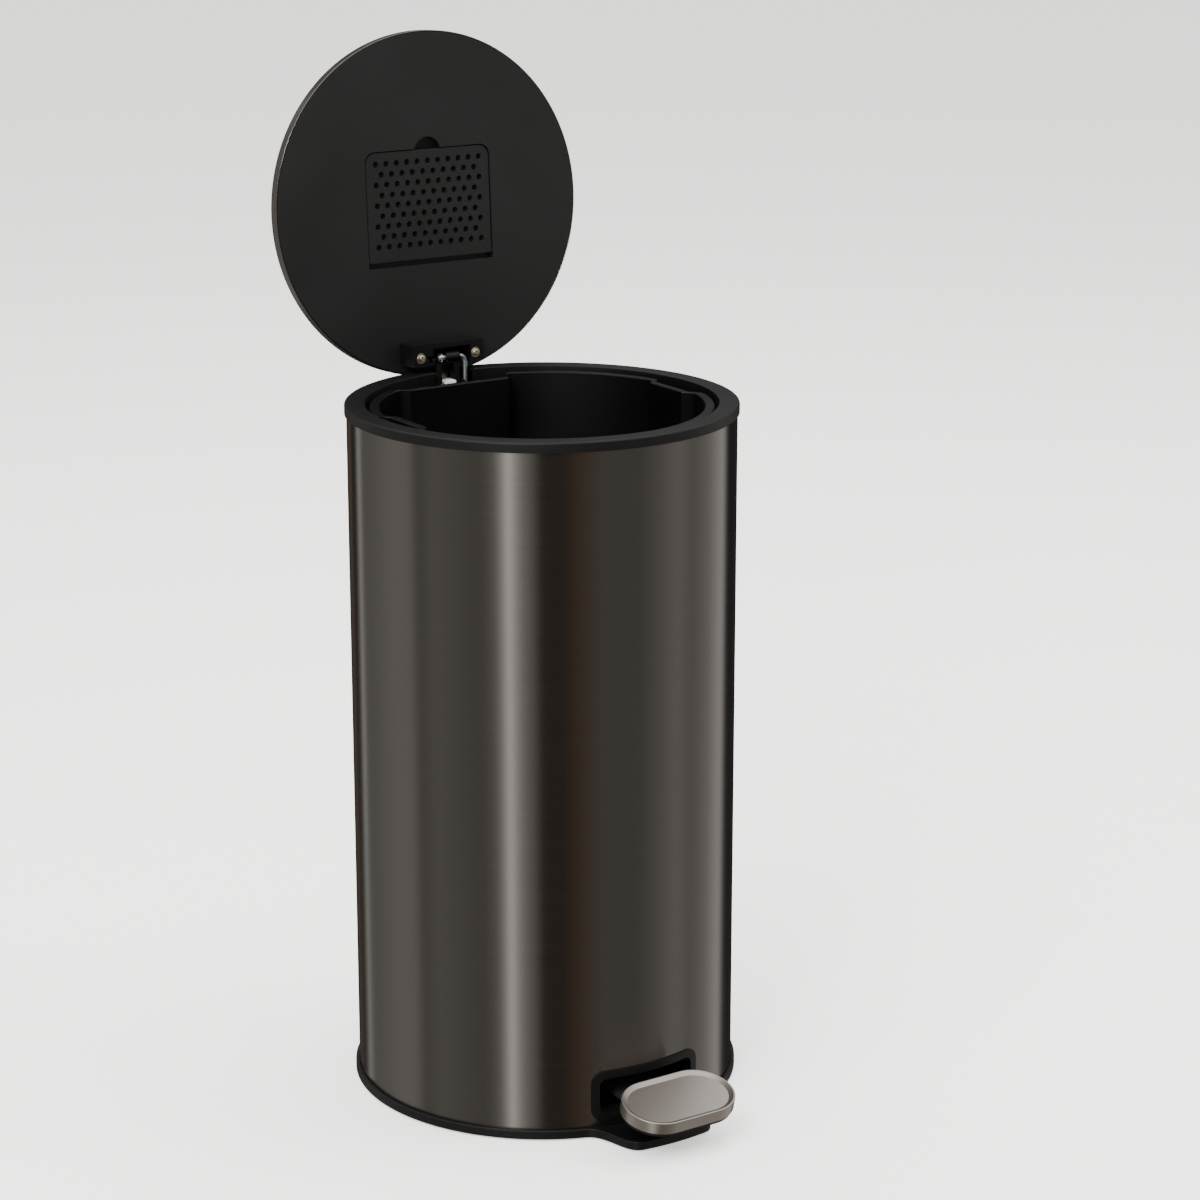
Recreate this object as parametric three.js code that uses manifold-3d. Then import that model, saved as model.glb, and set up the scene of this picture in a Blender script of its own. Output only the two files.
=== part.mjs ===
// Round pedal bin with a removable bucket, for a kitchen.
// Units are millimetres, +Z is up. The origin is on the floor at the centre of the round body,
// the pedal points along -Y and the lid hinge is at +Y. The lid stands open and the pedal is down.

import * as THREE from 'three';
import { mergeVertices } from 'three/addons/utils/BufferGeometryUtils.js';
import Module from 'manifold-3d';

const wasm = await Module();
wasm.setup();

// ---------------------------------------------------------------- driving dimensions

// fits
const seatGap = 0.3;            // between two pieces that are fixed together
const runGap = 0.3;             // radial play of a pin in its hole
const slideGap = 1.5;           // play around a piece that lifts or swings

// body
const bodyRadius = 147;         // outside of the steel shell
const shellWall = 0.7;
const bodyHeight = 535.5;       // floor to the top of the ring
const ringOverhang = 1.5;       // how far the top ring stands out past the shell
const ringBand = 7.5;           // visible height of the top ring
const ringWidth = 15.5;         // flat top face of the ring, outer edge to mouth
const ringWall = 2.5;
const ledgeDepth = 11.5;        // below the ring's top, where the bucket's flange sits
const ledgeWidth = 6.5;
const baseOverhang = 3;         // how far the base stands out past the shell
const baseSkirt = 8;            // visible height of the base ring
const tongueOut = 37.4;         // how far the tongue under the pedal reaches past the shell
const tongueHalfWidth = 38;
const footThickness = 2.4;
const footRadius = 11;
const footStand = 1;            // how far the feet hold the base off the floor
const footInset = 24.3;         // centre of a foot inside the bottom plate's edge
const floorPlate = 3;           // thickness of the bottom plate
const footCount = 4;

// lid
const lidInset = 12.5;          // lid's edge inside the shell's outside
const lidThickness = 9.7;
const lidSeatGap = 1;           // closed lid above the ring
const lidSkinWall = 0.8;
const panelWall = 3;
const hingeDrop = 14.5;         // hinge pin below the closed lid's underside
const hingeInset = 5.5;         // hinge pin inside the shell's outside
const openAngle = 93;           // degrees
const hingePinRadius = 2;

// filter compartment in the lid
const filterWidth = 110.6;
const filterLength = 85;
const filterShift = 0.7;        // centre of the compartment, towards the lid's front edge
const filterDepth = 5.4;
const filterWall = 1.2;
const coverThickness = 2.2;
const coverRecess = 0.6;        // cover face below the panel's face
const coverCorner = 9;
const coverGap = 0.8;
const coverPinRadius = 1.2;
const notchRadius = 12;         // thumb notch
const ventMargin = [4, 6];      // no vents along the sides and the ends of the cover
const ventPitch = 9.27;
const ventRadius = 2.3;
const ventShift = 1.6;          // centre of the vents from the centre of the cover

// hinge bracket on the lid and housing on the ring
const bracketWidth = 64;
const bracketThickness = 21;
const bracketStart = 18.2;      // from the hinge pin to the bracket, along the lid
const bracketLength = 17.5;
const recessLow = -14;          // window between the screw bosses
const recessHigh = 19.5;
const armWidths = [[-10.5, -5.6], [5.6, 10.5]];
const armRadius = 3.8;
const armRear = 2.6;            // thickness of the arm behind the pin when the lid is open
const screwSpread = 24.7;
const screwFromPin = 25;
const bracketRoom = 1.8;        // closed bracket to the back of the bucket
const screwHeadRadius = 2.6;
const screwShankRadius = 1.6;
const washerRadius = 4.2;
const washerThickness = 0.9;
const housingHalfWidth = 13.6;
const housingWall = 2.2;
const housingDrop = 34;         // below the top of the ring

// lift rod
const rodRadius = 1.9;
const rodX = 16.5;
const rodAttachAhead = 1.5;     // sleeve ahead of the hinge pin when the lid is open
const rodAttachUp = 23.5;       // sleeve above the hinge pin when the lid is open
const sleeveRadius = 4.2;
const sleeveSpan = [-2, 10];
const rodTip = -8;
const retainerRadius = 3.6;
const retainerThickness = 1;

// pedal mechanism
const axleInset = 105;          // axle inside the front of the shell
const axleHeight = 30;
const axleRadius = 3;
const axleHalfLength = 33;
const leverWidth = 38;
const leverThickness = 3;
const leverRest = 4.1;          // degrees that the lever dips to the front when pressed
const padTilt = 12.8;           // degrees, pressed
const padOut = 39;              // middle of the pad past the shell
const padHeight = 39;           // top of the pad
const padLength = 92;
const padWidth = 55;
const padSkirt = 9.5;
const padSheet = 1;
const padRim = 4.5;
const padDish = 2.2;
const trayGap = 0.4;
const trayDepth = 3;            // how far the tray shows under the cap
const bracketSheet = 2.5;

// pedal opening
const bezelWidth = 95;
const bezelLow = 12;
const bezelHigh = 52;
const bezelRim = 6.5;
const bezelProud = 1.2;
const bezelDepth = 9;
const bezelCorner = 10;

// bucket
const bucketFloor = 58;         // underside above the floor
const bucketWall = 2;
const bucketPlay = 2;           // wall under the flange, inside the ring's ledge
const bucketTaper = 6;
const flangePlay = 3.5;         // flange inside the ring's mouth
const flangeHeight = 8;
const gripDepth = 11.5;         // flats at both sides of the flange, where fingers go in
const gripHalfWidth = 26;
const recessSides = [-62, 36];   // left and right ends of the bucket's hollow for the hinge

const roundSteps = 60;
const smallSteps = 16;

// ---------------------------------------------------------------- derived places

const ringTop = bodyHeight;
const ringRadius = bodyRadius + ringOverhang;
const mouthRadius = ringRadius - ringWidth;
const shellInner = bodyRadius - shellWall;
const shellTop = ringTop - ringWall - 1.2;
const ledgeTop = ringTop - ledgeDepth;
const baseRadius = bodyRadius + baseOverhang;
const tongueReach = bodyRadius + tongueOut;
const baseLow = footStand;
const shellLow = baseLow + ringWall + seatGap;
const plateTop = baseLow + floorPlate;
const plateRadius = shellInner - 4;
const footCircle = plateRadius - footInset;
const lidRadius = bodyRadius - lidInset;
const hingeReach = bodyRadius - hingeInset;
const padCentre = bodyRadius + padOut;
const axleBack = bodyRadius - axleInset;
const flangeRadius = mouthRadius - flangePlay;
const bucketTopRadius = mouthRadius - ledgeWidth - bucketPlay;
const hingeChord = hingeReach - bracketStart - bracketLength - bracketRoom;
const gripChord = flangeRadius - gripDepth;
const rowPitch = ventPitch * Math.sqrt(3) / 2;
const ventColumns = Math.floor((filterWidth - 2 * ventMargin[0]) / ventPitch);
const ventRows = Math.floor((filterLength - 2 * ventMargin[1]) / rowPitch);
const pinHeight = ringTop + lidSeatGap - hingeDrop;
const openRadians = THREE.MathUtils.degToRad(openAngle);

// ---------------------------------------------------------------- solids

// a closed geometry as a manifold solid
function solid(geometry) {
  const bare = geometry.clone();
  bare.deleteAttribute('normal');
  bare.deleteAttribute('uv');
  const merged = mergeVertices(bare, 1e-4);
  const mesh = new wasm.Mesh({
    numProp: 3,
    vertProperties: new Float32Array(merged.attributes.position.array),
    triVerts: new Uint32Array(merged.index.array),
  });
  return new wasm.Manifold(mesh);
}

// a manifold solid back as a geometry
function geometryOf(body) {
  const mesh = body.getMesh();
  const geometry = new THREE.BufferGeometry();
  geometry.setAttribute('position', new THREE.BufferAttribute(mesh.vertProperties, 3));
  geometry.setIndex(new THREE.BufferAttribute(mesh.triVerts, 1));
  geometry.computeVertexNormals();
  return geometry;
}

// a box between two corners
function block(low, high) {
  const size = high.map((v, i) => v - low[i]);
  const geometry = new THREE.BoxGeometry(...size);
  geometry.translate(...low.map((v, i) => v + size[i] / 2));
  return geometry;
}

// a ring-shaped or round piece about Z: a closed outline of [radius, height] points,
// given anticlockwise in the radius-height plane
function turned(outline, steps = roundSteps) {
  const points = outline.map(([r, z]) => new THREE.Vector2(r, z));
  points.push(points[0].clone());
  const geometry = new THREE.LatheGeometry(points, steps);
  geometry.rotateX(Math.PI / 2);
  return geometry;
}

// a round bar along X, Y or Z between two positions on that axis
function bar(axis, radius, from, to, at = [0, 0], steps = smallSteps) {
  const geometry = new THREE.CylinderGeometry(radius, radius, to - from, steps);
  const middle = (from + to) / 2;
  if (axis === 'x') {
    geometry.rotateZ(Math.PI / 2);
    geometry.translate(middle, at[0], at[1]);
  } else if (axis === 'y') {
    geometry.translate(at[0], middle, at[1]);
  } else {
    geometry.rotateX(Math.PI / 2);
    geometry.translate(at[0], at[1], middle);
  }
  return geometry;
}

// an outline in X and Y, extruded up from z = low to z = high
function plate(shape, low, high, curveSegments = 6) {
  const geometry = new THREE.ExtrudeGeometry(shape, {
    depth: high - low,
    bevelEnabled: false,
    curveSegments,
  });
  geometry.translate(0, 0, low);
  return geometry;
}

// a rectangle with rounded corners, centred on x and y
function roundedRectangle(width, height, radius, x = 0, y = 0) {
  const w = width / 2;
  const h = height / 2;
  const r = Math.min(radius, w - 0.01, h - 0.01);
  const shape = new THREE.Shape();
  shape.absarc(x + w - r, y + h - r, r, 0, Math.PI / 2);
  shape.absarc(x - w + r, y + h - r, r, Math.PI / 2, Math.PI);
  shape.absarc(x - w + r, y - h + r, r, Math.PI, 1.5 * Math.PI);
  shape.absarc(x + w - r, y - h + r, r, 1.5 * Math.PI, 2 * Math.PI);
  return shape;
}

const join = (first, ...rest) => rest.reduce((body, g) => body.add(solid(g)), solid(first));
const cut = (body, ...tools) => tools.reduce((left, g) => left.subtract(solid(g)), body);

// ---------------------------------------------------------------- materials

const finish = (color, roughness, metalness) =>
  new THREE.MeshStandardMaterial({ color, roughness, metalness });
const darkSteel = finish(0x4a4540, 0.35, 0.9);
const paleSteel = finish(0x9d958c, 0.4, 0.9);
const zincSteel = finish(0xc3ccd2, 0.35, 0.9);
const yellowZinc = finish(0xb9a77c, 0.4, 0.9);
const blackPlastic = finish(0x161616, 0.55, 0);
const panelPlastic = finish(0x242424, 0.5, 0);
const nylon = finish(0xe3ded4, 0.5, 0);
const rubber = finish(0x101010, 0.8, 0);
const felt = finish(0x1c1c1c, 1, 0);

const bin = new THREE.Group();

// puts one named piece in a group
function piece(group, name, geometry, material) {
  const mesh = new THREE.Mesh(geometry, material);
  mesh.name = name;
  group.add(mesh);
  return mesh;
}

// ---------------------------------------------------------------- body

// the opening in the shell and the bezel's own outlines, as plates standing in X and Z
function frontPlate(width, low, high, corner, nearY, farY) {
  const shape = roundedRectangle(width, high - low, corner, 0, (low + high) / 2);
  const geometry = plate(shape, 0, farY - nearY);
  geometry.rotateX(Math.PI / 2);
  geometry.translate(0, farY, 0);
  return geometry;
}

// rolled steel tube with the pedal opening cut in its front
function outerShell() {
  const tube = solid(turned([
    [shellInner, shellLow], [bodyRadius, shellLow], [bodyRadius, shellTop], [shellInner, shellTop],
  ]));
  const opening = frontPlate(
    bezelWidth - 2 * bezelRim + 2, bezelLow + bezelRim - 1, bezelHigh - bezelRim + 1,
    bezelCorner - bezelRim / 2, -bodyRadius - 5, -bodyRadius + 40,
  );
  return geometryOf(cut(tube, opening));
}

// folded seam of the rolled sheet, a narrow strip inside the back of the shell
function shellSeam() {
  const width = 12;
  const height = [shellLow + 20, ringTop - housingDrop - 20];
  const seam = solid(block([-width / 2, shellInner - 3, height[0]], [width / 2, shellInner + 1, height[1]]));
  const inside = solid(turned([
    [shellInner - 1.4, 0], [shellInner - seatGap, 0],
    [shellInner - seatGap, ringTop], [shellInner - 1.4, ringTop],
  ]));
  return geometryOf(seam.intersect(inside));
}

// moulded ring that caps the shell, with the ledge that carries the bucket
// and a notch at the back for the hinge
function topRing() {
  const plugOuter = shellInner - seatGap;
  const plugInner = plugOuter - 1.5;
  const slotTop = shellTop + seatGap;
  const bandInner = bodyRadius + seatGap;
  const round = 1.2;
  const lip = mouthRadius + ringWall;
  const web = ringTop - ringWall;
  const ring = solid(turned([
    [ringRadius, ringTop - ringBand], [ringRadius, ringTop - round],
    [ringRadius - round, ringTop], [mouthRadius + round / 2, ringTop],
    [mouthRadius, ringTop - round / 2], [mouthRadius, ledgeTop],
    [mouthRadius - ledgeWidth, ledgeTop], [mouthRadius - ledgeWidth, ledgeTop - ringWall],
    [lip, ledgeTop - ringWall], [lip, web], [plugInner, web], [plugInner, ringTop - 20],
    [plugOuter, ringTop - 20], [plugOuter, slotTop], [bandInner, slotTop],
    [bandInner, ringTop - ringBand],
  ]));
  const near = hingeReach - 50;
  const far = hingeReach + 20;
  const low = ringTop - 60;
  const high = ringTop + 10;
  const notchHalf = housingHalfWidth + seatGap;
  const notch = solid(block([-notchHalf, near, low], [notchHalf, far, high]));
  const reach = solid(bar('z', plugOuter + seatGap / 2, 0, high, [0, 0], roundSteps));
  const bracketHalf = bracketWidth / 2 + slideGap;
  const bracketWay = solid(block([-bracketHalf, near, low], [bracketHalf, far, high]));
  const mouth = solid(bar('z', mouthRadius, 0, high, [0, 0], roundSteps));
  const rodWay = rodRadius + slideGap;
  return geometryOf(cut(
    ring.subtract(notch.intersect(reach)).subtract(bracketWay.intersect(mouth)),
    block([0, near, low], [rodX + rodWay, hingeReach - rodAttachAhead + rodWay, high]),
  ));
}

// moulded box behind the bucket that holds the hinge pin between two cheeks
function hingeHousing() {
  const low = ringTop - housingDrop;
  const high = ringTop - ringWall;
  const front = hingeReach - 12;
  const back = hingeReach + 6;
  const half = housingHalfWidth;
  const inner = half - housingWall;
  const rearWall = hingeReach - 1;
  const housing = join(
    block([-half, front, low], [-inner, back, high]),
    block([inner, front, low], [half, back, high]),
    block([-half, rearWall, low], [half, back, pinHeight - armRadius - 2]),
    block([-half, front, low], [half, back, low + housingWall]),
  );
  const inside = solid(bar('z', shellInner - 0.5, 0, ringTop + 20, [0, 0], roundSteps));
  return geometryOf(cut(
    housing.intersect(inside),
    bar('x', hingePinRadius + runGap, -half - 5, half + 5, [hingeReach, pinHeight]),
  ));
}

// white nylon bearing that stands on the housing's floor, between the arms
function hingeBush() {
  const low = ringTop - housingDrop + housingWall + seatGap;
  const ahead = 6.5;
  const behind = 3.8;
  const above = 5.2;
  const half = armWidths[1][0] - 0.4;
  return geometryOf(cut(
    solid(block([-half, hingeReach - ahead, low], [half, hingeReach - 1 - seatGap, pinHeight + above]))
      .add(solid(block([-half, hingeReach - ahead, pinHeight - armRadius - 2 + seatGap],
        [half, hingeReach + behind, pinHeight + above]))),
    bar('x', hingePinRadius + runGap, -20, 20, [hingeReach, pinHeight]),
  ));
}

// outline of the base seen from above: a circle that runs out into the tongue at the front
function baseOutline(radius, reach, halfWidth) {
  const shape = new THREE.Shape();
  const blend = 15;
  const side = Math.asin((halfWidth + blend) / radius);
  const start = -Math.PI / 2 + side;
  const end = 1.5 * Math.PI - side;
  const tip = Math.asin((halfWidth - blend / 1.5) / reach);
  const left = new THREE.Vector2(radius * Math.cos(end), radius * Math.sin(end));
  const tipY = -reach * Math.cos(tip);
  const tipX = reach * Math.sin(tip);
  shape.absarc(0, 0, radius, start, end, false);
  shape.bezierCurveTo(left.x + blend * 0.9, left.y - 5, -tipX - blend * 0.9, tipY + 5, -tipX, tipY);
  shape.absarc(0, 0, reach, 1.5 * Math.PI - tip, 1.5 * Math.PI + tip, false);
  shape.bezierCurveTo(tipX + blend * 0.9, tipY + 5, -left.x - blend * 0.9, left.y - 5, -left.x, left.y);
  return shape;
}

// moulded ring that the shell stands in, with the tongue under the pedal
function baseRing() {
  const outline = baseOutline(baseRadius, tongueReach, tongueHalfWidth);
  const whole = solid(plate(outline, baseLow, baseSkirt, roundSteps / 2));
  const groove = bodyRadius + seatGap;
  const plateSeat = plateRadius + seatGap;
  return geometryOf(cut(
    whole,
    bar('z', groove, baseLow + ringWall, baseSkirt + 1, [0, 0], roundSteps),
    bar('z', plateSeat, baseLow - 1, baseSkirt + 1, [0, 0], roundSteps),
  ));
}

// foot positions on the bottom plate, with one in the middle
const feet = Array.from({ length: footCount }, (_, i) => {
  const turn = (i + 0.5) * 2 * Math.PI / footCount;
  return [footCircle * Math.cos(turn), footCircle * Math.sin(turn)];
});
feet.push([0, 0]);

// round bottom plate with shallow seats for the feet
function basePlate() {
  const upstand = 3;
  const rim = plateRadius - 3;
  const disc = solid(turned([
    [0, baseLow], [plateRadius, baseLow], [plateRadius, plateTop + upstand],
    [rim, plateTop + upstand], [rim, plateTop], [0, plateTop],
  ]));
  const seats = feet.map(([x, y]) =>
    bar('z', footRadius + seatGap, -1, footThickness + seatGap, [x, y], 24));
  return geometryOf(cut(disc, ...seats));
}

// stamped bracket that holds one end of the pedal axle
function axleBracket(side) {
  const inner = axleHalfLength - 6;
  const outer = inner + bracketSheet;
  const width = 22;
  const foot = 12;
  const shape = new THREE.Shape();
  const base = plateTop + seatGap;
  shape.moveTo(-axleBack - width / 2, base);
  shape.lineTo(-axleBack + width / 2, base);
  shape.lineTo(-axleBack + 8, axleHeight);
  shape.absarc(-axleBack, axleHeight, 8, 0, Math.PI, false);
  const web = plate(shape, 0, bracketSheet, 8);
  web.rotateX(Math.PI / 2);
  web.rotateZ(Math.PI / 2);
  web.translate(side > 0 ? inner : -outer, 0, 0);
  const near = side > 0 ? inner : -outer - foot + bracketSheet;
  const far = side > 0 ? outer + foot - bracketSheet : -inner;
  const flange = block(
    [near, -axleBack - width / 2, base],
    [far, -axleBack + width / 2, base + bracketSheet],
  );
  return geometryOf(cut(
    join(web, flange),
    bar('x', axleRadius + runGap, -60, 60, [-axleBack, axleHeight]),
  ));
}

// black frame around the pedal opening, curved with the shell
function pedalBezel() {
  const face = bodyRadius + bezelProud;
  const behind = shellInner - seatGap;
  const neckWidth = bezelWidth - 2 * bezelRim + 2 - 2 * seatGap;
  const neckLow = bezelLow + bezelRim - 1 + seatGap;
  const neckHigh = bezelHigh - bezelRim + 1 - seatGap;
  const frame = solid(frontPlate(bezelWidth, bezelLow, bezelHigh, bezelCorner, -face - 5, -face + 40));
  const shoulder = solid(turned([
    [bodyRadius + seatGap, bezelLow - 5], [face, bezelLow - 5],
    [face, bezelHigh + 5], [bodyRadius + seatGap, bezelHigh + 5],
  ]));
  const neck = solid(frontPlate(
    neckWidth, neckLow, neckHigh, bezelCorner - bezelRim / 2 - seatGap, -face - 5, -face + 60,
  ));
  const tube = solid(turned([
    [behind - bezelDepth, bezelLow], [bodyRadius + bezelProud / 2, bezelLow],
    [bodyRadius + bezelProud / 2, bezelHigh], [behind - bezelDepth, bezelHigh],
  ]));
  const hole = solid(frontPlate(
    neckWidth - 4, neckLow + 2, neckHigh - 2, bezelCorner - bezelRim / 2 - 2, -face - 10, -face + 80,
  ));
  return geometryOf(frame.intersect(shoulder).add(neck.intersect(tube)).subtract(hole));
}

piece(bin, 'outer_shell', outerShell(), darkSteel);
piece(bin, 'shell_seam', shellSeam(), darkSteel);
piece(bin, 'top_ring', topRing(), blackPlastic);
piece(bin, 'hinge_housing', hingeHousing(), blackPlastic);
piece(bin, 'hinge_bush', hingeBush(), nylon);
const pinSpan = housingHalfWidth;
piece(bin, 'hinge_pin', bar('x', hingePinRadius, -pinSpan, pinSpan, [hingeReach, pinHeight]), zincSteel);
piece(bin, 'base_ring', baseRing(), blackPlastic);
piece(bin, 'base_plate', basePlate(), blackPlastic);
feet.forEach(([x, y], i) => {
  const foot = bar('z', footRadius, 0, footThickness, [x, y], 24);
  piece(bin, i < footCount ? `foot_pad_${i + 1}` : 'foot_pad_middle', foot, rubber);
});
piece(bin, 'axle_bracket_left', axleBracket(-1), zincSteel);
piece(bin, 'axle_bracket_right', axleBracket(1), zincSteel);
piece(bin, 'pedal_axle', bar('x', axleRadius, -axleHalfLength, axleHalfLength, [-axleBack, axleHeight]), zincSteel);
piece(bin, 'pedal_bezel', pedalBezel(), blackPlastic);

// ---------------------------------------------------------------- bucket

// outline of the bucket seen from above: a circle with a flat at the back and one at each side
function bucketOutline(radius, back, sides) {
  const disc = solid(bar('z', radius, 0, 1, [0, 0], roundSteps));
  const grip = new THREE.Shape([
    new THREE.Vector2(sides, -gripHalfWidth), new THREE.Vector2(sides, gripHalfWidth),
    new THREE.Vector2(radius + 5, gripHalfWidth + 14), new THREE.Vector2(radius + 5, -gripHalfWidth - 14),
  ]);
  const right = plate(grip, -1, 2);
  const left = right.clone();
  left.rotateZ(Math.PI);
  const recess = block([recessSides[0], back, -1], [recessSides[1], radius + 5, 2]);
  return cut(disc, recess, right, left);
}

// a straight or tapered wall from an outline one millimetre high
function raised(outline, low, high, scaleLow = 1) {
  const mesh = outline.getMesh();
  const points = mesh.vertProperties;
  for (let i = 0; i < points.length; i += 3) {
    const top = points[i + 2] > 0.5;
    points[i] *= top ? 1 : scaleLow;
    points[i + 1] *= top ? 1 : scaleLow;
    points[i + 2] = top ? high : low;
  }
  return new wasm.Manifold(new wasm.Mesh({
    numProp: 3, vertProperties: points, triVerts: mesh.triVerts,
  }));
}

// moulded bucket: tapered wall, closed floor, and a flange that sits on the ring's ledge
function innerBucket() {
  const flangeLow = ledgeTop + seatGap;
  const top = flangeLow + flangeHeight;
  const narrow = (bucketTopRadius - bucketTaper) / bucketTopRadius;
  const wallBack = hingeChord - 1.5;
  const wallSide = gripChord - 1.5;
  const outside = raised(bucketOutline(bucketTopRadius, wallBack, wallSide), bucketFloor, top, narrow);
  const flange = raised(bucketOutline(flangeRadius, hingeChord + 1, gripChord + 1), flangeLow, top);
  const hollow = raised(
    bucketOutline(bucketTopRadius - bucketWall, wallBack - bucketWall, wallSide - bucketWall),
    bucketFloor + bucketWall, top + 1, narrow,
  );
  return geometryOf(outside.add(flange).subtract(hollow));
}

piece(bin, 'inner_bucket', innerBucket(), blackPlastic);

// ---------------------------------------------------------------- lid
// Built closed, with the hinge pin as its origin, then swung open about the pin.

const lid = new THREE.Group();
lid.position.set(0, hingeReach, pinHeight);
lid.rotation.x = -openRadians;
bin.add(lid);

const underside = hingeDrop;
const lidTop = underside + lidThickness;
const panelTop = underside + filterDepth + filterWall + 0.2;

// moves a piece made about the lid's centre to the lid's frame
const fromCentre = (geometry) => geometry.translate(0, -hingeReach, 0);

// dished steel cover with a rolled edge
function lidSkin() {
  const edge = 1.5;
  return fromCentre(turned([
    [lidRadius - lidSkinWall, underside + 0.4], [lidRadius, underside + 0.4],
    [lidRadius, lidTop - edge], [lidRadius - edge, lidTop], [0, lidTop],
    [0, lidTop - lidSkinWall], [lidRadius - edge - 0.3, lidTop - lidSkinWall],
    [lidRadius - lidSkinWall, lidTop - edge - 0.2],
  ]));
}

const openingWidth = filterWidth + 2 * coverGap;
const openingLength = filterLength + 2 * coverGap;

// outline of the compartment opening or of its cover: square at the hinge side, rounded at the front
function coverOutline(width, length, corner) {
  const w = width / 2;
  const low = -length / 2 - filterShift;
  const high = length / 2 - filterShift;
  const shape = new THREE.Shape();
  shape.moveTo(w, high);
  shape.lineTo(-w, high);
  shape.lineTo(-w, low + corner);
  shape.absarc(-w + corner, low + corner, corner, Math.PI, 1.5 * Math.PI);
  shape.absarc(w - corner, low + corner, corner, 1.5 * Math.PI, 2 * Math.PI);
  return shape;
}

// inner panel with the filter compartment moulded in its middle
function lidPanel() {
  const radius = lidRadius - lidSkinWall - seatGap;
  const disc = solid(bar('z', radius, underside, underside + panelWall, [0, 0], roundSteps));
  const grow = 2 * filterWall;
  const box = plate(coverOutline(openingWidth + grow, openingLength + grow, coverCorner + filterWall),
    underside + 1, panelTop);
  const pocket = plate(coverOutline(openingWidth, openingLength, coverCorner),
    underside - 1, underside + filterDepth);
  const notchY = -filterShift - openingLength / 2;
  const notch = bar('z', notchRadius, underside - 1, underside + 1.8, [0, notchY + 3], 24);
  const pinY = filterLength / 2 - filterShift - coverPinRadius - 0.6;
  const pinSeat = bar('x', coverPinRadius + runGap, -openingWidth / 2 - 1, openingWidth / 2 + 1,
    [pinY, underside + coverRecess + coverThickness / 2], 12);
  const screws = [-1, 1].map((side) => bar('z', screwShankRadius + runGap, underside - 1,
    underside + panelWall + 1, [side * screwSpread, hingeReach - screwFromPin], 12));
  const panel = cut(disc.add(solid(box)), pocket, notch, pinSeat, ...screws);
  return fromCentre(geometryOf(panel));
}

// activated carbon pad in the compartment
function carbonFilter() {
  const low = underside + coverRecess + coverThickness + 0.3;
  const shape = coverOutline(filterWidth - 4, filterLength - 10, coverCorner - 2);
  return fromCentre(plate(shape, low, underside + filterDepth - seatGap, 4));
}

// bracket moulding screwed under the lid: two bosses, a back wall and two arms to the hinge pin
function hingeBracket() {
  const far = -bracketStart - bracketLength;
  const low = underside - bracketThickness;
  const high = underside - seatGap;
  const half = bracketWidth / 2;
  const wall = 4;
  const sleeve = sleevePlace();
  const arms = armWidths.flatMap(([from, to]) => [
    block([from, -bracketStart - 2, -armRadius], [to, 0, armRear]),
    bar('x', armRadius, from, to, [0, 0]),
  ]);
  const body = join(
    block([-half, far, low], [recessLow, -bracketStart, high]),
    block([recessHigh, far, low], [half, -bracketStart, high]),
    block([-half, far, high - wall], [half, -bracketStart, high]),
    block([-half, far, low], [half, far + wall, high]),
    block([armWidths[0][0], -bracketStart - 5, -armRadius], [armWidths[1][1], -bracketStart, high]),
    block([sleeveSpan[0], sleeve[0] - 3, sleeve[1]], [sleeveSpan[1], sleeve[0] + 3, high]),
    ...arms,
  );
  return geometryOf(cut(
    body,
    bar('x', hingePinRadius + runGap, -60, 60, [0, 0]),
    bar('x', sleeveRadius + seatGap, sleeveSpan[0] - 20, recessHigh, sleeve),
    ...[-1, 1].map((side) =>
      bar('z', screwShankRadius + runGap, low - 1, high + 1, [side * screwSpread, -screwFromPin], 12)),
    ...[-1, 1].map((side) =>
      bar('z', washerRadius + runGap, low - 1, low + 2, [side * screwSpread, -screwFromPin])),
  ));
}

// centre of the rod's sleeve in the lid's closed frame, as [y, z] from the hinge pin
function sleevePlace() {
  const open = new THREE.Vector2(-rodAttachAhead, rodAttachUp);
  open.rotateAround(new THREE.Vector2(0, 0), openRadians);
  return [open.x, open.y];
}

// sleeve that the bent end of the lift rod turns in
function rodSleeve() {
  const [y, z] = sleevePlace();
  return geometryOf(cut(
    solid(bar('x', sleeveRadius, ...sleeveSpan, [y, z])),
    bar('x', rodRadius + runGap, -40, 40, [y, z]),
  ));
}

// pan-head screw with a cross recess, pointing up into the lid
function bracketScrew(side) {
  const low = underside - bracketThickness + 2;
  const head = low - washerThickness - seatGap;
  const x = side * screwSpread;
  const at = [x, -screwFromPin];
  const slot = 0.7;
  const deep = head - 1.2;
  return geometryOf(cut(
    join(
      bar('z', screwHeadRadius, head - 2, head, at),
      bar('z', screwShankRadius, head - 0.5, underside + panelWall - 1, at, 12),
    ),
    block([x - 1.7, -screwFromPin - slot / 2, head - 3], [x + 1.7, -screwFromPin + slot / 2, deep]),
    block([x - slot / 2, -screwFromPin - 1.7, head - 3], [x + slot / 2, -screwFromPin + 1.7, deep]),
  ));
}

function screwWasher(side) {
  const low = underside - bracketThickness + 2;
  const at = [side * screwSpread, -screwFromPin];
  return geometryOf(cut(
    solid(bar('z', washerRadius, low - washerThickness - seatGap / 2, low - seatGap / 2, at)),
    bar('z', screwShankRadius + runGap, low - 5, low + 5, at, 12),
  ));
}

piece(lid, 'lid_skin', lidSkin(), darkSteel);
piece(lid, 'lid_panel', lidPanel(), panelPlastic);
piece(lid, 'carbon_filter', carbonFilter(), felt);
piece(lid, 'lid_hinge_bracket', hingeBracket(), blackPlastic);
piece(lid, 'rod_sleeve', rodSleeve(), blackPlastic);
for (const [name, side] of [['left', -1], ['right', 1]]) {
  piece(lid, `bracket_screw_${name}`, bracketScrew(side), yellowZinc);
  piece(lid, `screw_washer_${name}`, screwWasher(side), yellowZinc);
}

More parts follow.
